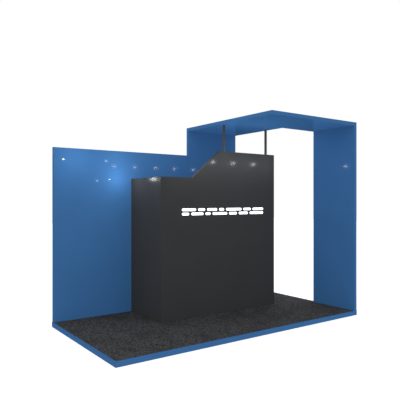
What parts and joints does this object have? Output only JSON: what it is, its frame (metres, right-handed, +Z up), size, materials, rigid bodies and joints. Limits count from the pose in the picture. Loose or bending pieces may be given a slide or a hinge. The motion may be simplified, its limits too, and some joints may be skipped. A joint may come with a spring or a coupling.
{
  "type": "exhibition stand with partition block",
  "caption": "Raised carpeted exhibition stand with a blue back wall, a portal and header, and a charcoal partition block with a sloping shoulder, a backlit sign and a storage closet.",
  "frame": {"origin": "on the ground, under the middle of the platform", "axes": "+X along the platform's front edge from left to right, +Y from the open front towards the back wall, +Z up"},
  "size_m": [4, 2, 2.921],
  "materials": {
    "blue_laminate": "satin",
    "charcoal_laminate": "satin",
    "grey_board": "matte",
    "timber": "matte",
    "plywood": "matte",
    "carpet_pile": "matte",
    "dark_steel": "satin",
    "bright_steel": "satin",
    "aluminium_sheet": "satin",
    "opal_acrylic": "satin",
    "circuit_board": "matte",
    "black_plastic": "matte"
  },
  "bodies": {
    "stand": {"platform_frame_1": "timber", "platform_frame_2": "timber", "platform_frame_3": "timber", "platform_frame_4": "timber", "deck_board_1": "plywood", "deck_board_2": "plywood", "deck_board_3": "plywood", "deck_board_4": "plywood", "carpet": "carpet_pile", "front_fascia": "blue_laminate", "rear_fascia": "blue_laminate", "left_fascia": "blue_laminate", "right_fascia": "blue_laminate", "back_wall_cover": "blue_laminate", "back_wall_frame": "timber", "back_wall_back_board": "blue_laminate", "portal_column_cover": "blue_laminate", "portal_column_frame": "timber", "portal_column_back_board": "blue_laminate", "end_panel_cover": "blue_laminate", "end_panel_frame": "timber", "end_panel_back_board": "blue_laminate", "side_header_cover": "blue_laminate", "side_header_frame": "timber", "side_header_back_board": "blue_laminate", "front_header_cover": "blue_laminate", "front_header_frame": "timber", "front_header_back_board": "blue_laminate", "closet_rear_filler": "blue_laminate", "block_front_cover": "charcoal_laminate", "block_front_frame": "timber", "block_front_back_board": "grey_board", "block_side_cover": "charcoal_laminate", "block_side_frame": "timber", "block_side_back_board": "grey_board", "header_post_left": "dark_steel", "header_post_right": "dark_steel", "sign_diffuser": "opal_acrylic", "sign_light_box": "aluminium_sheet", "sign_led_board": "circuit_board", "sign_driver": "black_plastic", "door_jamb_front": "charcoal_laminate", "door_jamb_back": "charcoal_laminate", "door_head": "charcoal_laminate", "hinge_1_frame_leaf": "bright_steel", "hinge_2_frame_leaf": "bright_steel", "hinge_3_frame_leaf": "bright_steel", "catch_magnet": "black_plastic"},
    "door": {"door_core": "timber", "door_outer_skin": "charcoal_laminate", "door_inner_skin": "grey_board", "hinge_1_door_leaf": "bright_steel", "hinge_2_door_leaf": "bright_steel", "hinge_3_door_leaf": "bright_steel", "lock_barrel": "bright_steel", "door_pull": "bright_steel", "catch_plate": "bright_steel"},
    "lock": {"lock_plug": "bright_steel", "lock_cam": "bright_steel"}
  },
  "joints": [
    {"name": "door_hinge", "type": "hinge", "parent": "stand", "child": "door", "pos_m": [1.3235, 0.8885, 1.07], "axis": [0, 0, 1], "range_deg": [0, 95]},
    {"name": "lock_turn", "type": "hinge", "parent": "door", "child": "lock", "pos_m": [1.265, 0.226, 1.04], "axis": [-1, 0, 0], "range_deg": [0, 90]}
  ]
}
